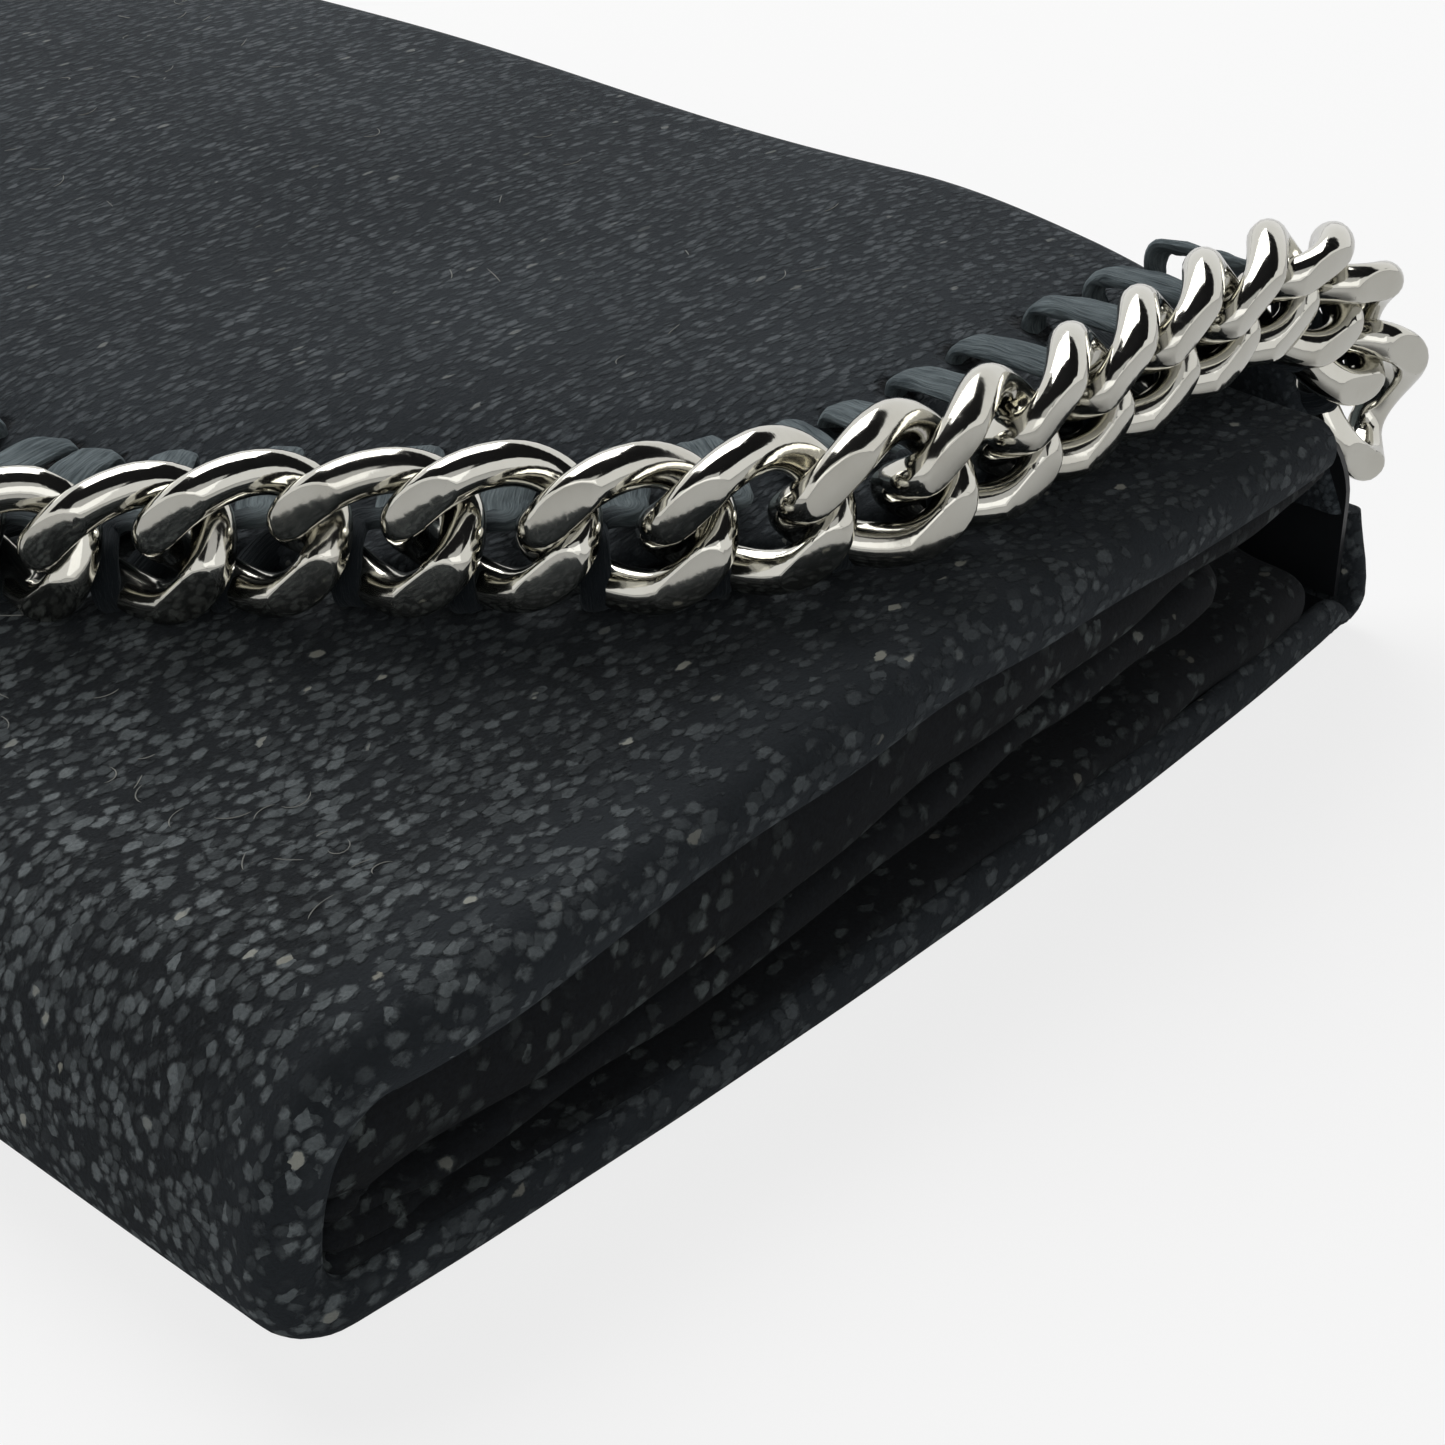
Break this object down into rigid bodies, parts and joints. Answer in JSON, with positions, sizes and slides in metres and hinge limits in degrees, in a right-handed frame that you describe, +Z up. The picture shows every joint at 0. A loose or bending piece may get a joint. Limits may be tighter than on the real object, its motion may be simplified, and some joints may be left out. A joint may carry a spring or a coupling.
{
  "type": "chain wallet",
  "caption": "Long suede clutch wallet with a rounded fold-over flap whose edge carries a curb chain laced on by a soft thong, with bellows ends and a zip pocket inside.",
  "frame": {"origin": "centre of the flat underside of the body, on the surface it lies on", "axes": "+X along the length of the wallet, -Y towards the closed front edge under the flap, +Y towards the spine, +Z up out of the flap"},
  "size_m": [0.19, 0.1086, 0.0341],
  "materials": {
    "suede": "napped suede, blue-black with pale worn flecks",
    "lining": "smooth, half gloss",
    "board": "plain stiffener board",
    "lace": "soft napped thong",
    "nickel": "polished nickel plate",
    "tape": "woven zip tape"
  },
  "bodies": {
    "body": {"body_cover": "suede", "body_lining": "lining", "gusset_right": "suede", "gusset_left": "suede", "pocket_upper_wall": "lining", "pocket_lower_wall": "lining", "pocket_floor": "lining", "zip_tape_upper": "tape", "zip_tape_lower": "tape", "zip_teeth_upper": "nickel", "zip_teeth_lower": "nickel", "card_leaf_1": "lining", "card_leaf_2": "lining", "card_leaf_3": "lining", "card_leaf_4": "lining", "slip_pocket": "lining", "snap_stud": "nickel"},
    "spine": {"spine_cover": "suede", "spine_lining": "lining"},
    "flap": {"flap_cover": "suede", "flap_board": "board", "flap_lining": "lining", "snap_socket": "nickel", "lace_right": "lace", "lace_front": "lace", "lace_left": "lace", "chain_pair_01": "nickel", "chain_pair_02": "nickel", "chain_pair_03": "nickel", "chain_pair_04": "nickel", "chain_pair_05": "nickel", "chain_pair_06": "nickel", "chain_pair_07": "nickel", "chain_pair_08": "nickel", "chain_pair_09": "nickel", "chain_pair_10": "nickel", "chain_pair_11": "nickel", "chain_pair_12": "nickel", "chain_pair_13": "nickel", "chain_pair_14": "nickel", "chain_pair_15": "nickel", "chain_pair_16": "nickel", "chain_pair_17": "nickel", "chain_pair_18": "nickel", "chain_pair_19": "nickel", "chain_pair_20": "nickel", "chain_pair_21": "nickel", "chain_pair_22": "nickel", "chain_pair_23": "nickel"},
    "slider": {"zip_slider": "nickel"},
    "puller": {"zip_puller": "nickel"}
  },
  "joints": [
    {"name": "spine_foot_crease", "type": "hinge", "parent": "body", "child": "spine", "pos_m": [0, 0.04925, 0.00075], "axis": [-1, 0, 0], "range_deg": [0, 50]},
    {"name": "flap_crease", "type": "hinge", "parent": "spine", "child": "flap", "pos_m": [0, 0.04925, 0.017], "axis": [-1, 0, 0], "range_deg": [0, 70]},
    {"name": "zip_slide", "type": "slide", "parent": "body", "child": "slider", "axis": [1, 0, 0], "range_m": [-0.124, 0]},
    {"name": "puller_swing", "type": "hinge", "parent": "slider", "child": "puller", "pos_m": [0.062, 0.0325, 0.01111], "axis": [0, 0, 1], "range_deg": [0, 180]}
  ]
}
